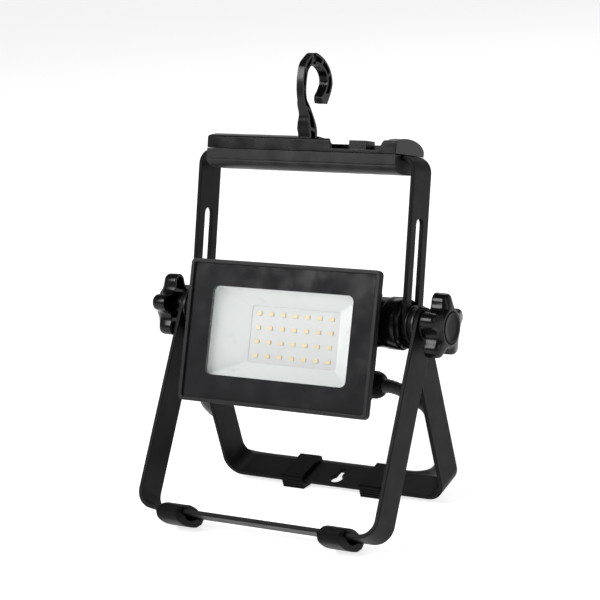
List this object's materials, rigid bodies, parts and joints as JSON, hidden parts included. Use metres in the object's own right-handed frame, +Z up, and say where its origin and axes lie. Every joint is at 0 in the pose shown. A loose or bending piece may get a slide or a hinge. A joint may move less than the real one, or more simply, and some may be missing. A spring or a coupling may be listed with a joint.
{
  "type": "work light",
  "caption": "Compact rectangular flood work light on a folding flat-bar stand, with a sliding carry handle, flip-up hook, side star knobs and a mains lead.",
  "frame": {"origin": "floor level under the middle of the lamp's own box, without its lead", "axes": "+Z up, -Y the way the light shines, +X the right-hand knob as seen from the front"},
  "size_m": [0.3726, 0.4646, 0.3214],
  "materials": {
    "powder_coat": "satin black powder coat with a fine texture",
    "foot_rubber": "matt black rubber",
    "satin_plastic": "satin black glass-filled nylon",
    "black_gloss_plastic": "polished black plastic",
    "head_casting": "charcoal powder coat on die cast aluminium",
    "clear_glass": "clear tempered glass with a black printed border",
    "silicone": "soft black silicone",
    "white_reflector": "white high reflectance plastic",
    "white_board": "white solder mask with yellow phosphor chips",
    "driver_moulding": "black potted driver",
    "brass_insert": "turned brass",
    "screw_steel": "zinc plated steel",
    "black_washer": "black coated steel",
    "cord_jacket": "matt black rubber jacket",
    "plug_nickel": "nickel plated brass"
  },
  "bodies": {
    "stand": {"rear_frame": "powder_coat", "rear_foot_left": "foot_rubber", "rear_foot_right": "foot_rubber", "leg_washer_left": "black_washer", "leg_washer_right": "black_washer", "cord": "cord_jacket", "cord_coil": "cord_jacket", "cord_tail": "cord_jacket", "plug_body": "cord_jacket", "plug_pin_1": "plug_nickel", "plug_pin_2": "plug_nickel"},
    "front_leg": {"front_frame": "powder_coat", "front_foot_left": "foot_rubber", "front_foot_right": "foot_rubber"},
    "carrier": {"slot_washer_left": "black_washer", "slot_washer_right": "black_washer"},
    "upper_frame": {"upper_frame": "powder_coat", "handle_top": "satin_plastic", "handle_bottom": "satin_plastic", "handle_screw_left": "screw_steel", "handle_screw_right": "screw_steel", "hook_pin": "screw_steel"},
    "hook": {"hook": "black_gloss_plastic"},
    "head": {"bezel": "head_casting", "front_glass": "clear_glass", "gasket": "silicone", "housing": "head_casting", "rear_cover": "head_casting", "cover_screw_1": "screw_steel", "cover_screw_2": "screw_steel", "cover_screw_3": "screw_steel", "cover_screw_4": "screw_steel", "reflector": "white_reflector", "led_board": "white_board", "driver_board": "driver_moulding", "gland_body": "satin_plastic", "gland_nut": "satin_plastic", "gland_seal": "silicone", "spacer_barrel_left": "black_gloss_plastic", "spacer_barrel_right": "black_gloss_plastic", "threaded_insert_left": "brass_insert", "threaded_insert_right": "brass_insert"},
    "knob_left": {"knob_left": "black_gloss_plastic", "knob_cap_left": "black_gloss_plastic", "knob_stud_left": "screw_steel", "knob_washer_left": "black_washer"},
    "knob_right": {"knob_right": "black_gloss_plastic", "knob_cap_right": "black_gloss_plastic", "knob_stud_right": "screw_steel", "knob_washer_right": "black_washer"}
  },
  "joints": [
    {"name": "front_leg_swing", "type": "hinge", "parent": "stand", "child": "front_leg", "pos_m": [0, 0.0196, 0.1407], "axis": [1, 0, 0], "range_deg": [-60, 45]},
    {"name": "upper_frame_tilt", "type": "hinge", "parent": "stand", "child": "carrier", "pos_m": [0, 0.0196, 0.1407], "axis": [1, 0, 0], "range_deg": [-100, 85]},
    {"name": "upper_frame_slide", "type": "slide", "parent": "carrier", "child": "upper_frame", "axis": [0, 0.2723, 0.9622], "range_m": [-0.068, 0]},
    {"name": "hook_fold", "type": "hinge", "parent": "upper_frame", "child": "hook", "pos_m": [0.002, 0.05206, 0.2554], "axis": [0, 0.9622, -0.2723], "range_deg": [0, 90]},
    {"name": "head_tilt", "type": "hinge", "parent": "stand", "child": "head", "pos_m": [0, 0.0196, 0.1407], "axis": [1, 0, 0], "range_deg": [-50, 60], "deforming": ["cord"]},
    {"name": "knob_left_turn", "type": "hinge", "parent": "stand", "child": "knob_left", "pos_m": [-0.11, 0.0196, 0.1407], "axis": [1, 0, 0], "continuous": true},
    {"name": "knob_right_turn", "type": "hinge", "parent": "stand", "child": "knob_right", "pos_m": [0.11, 0.0196, 0.1407], "axis": [1, 0, 0], "continuous": true}
  ]
}
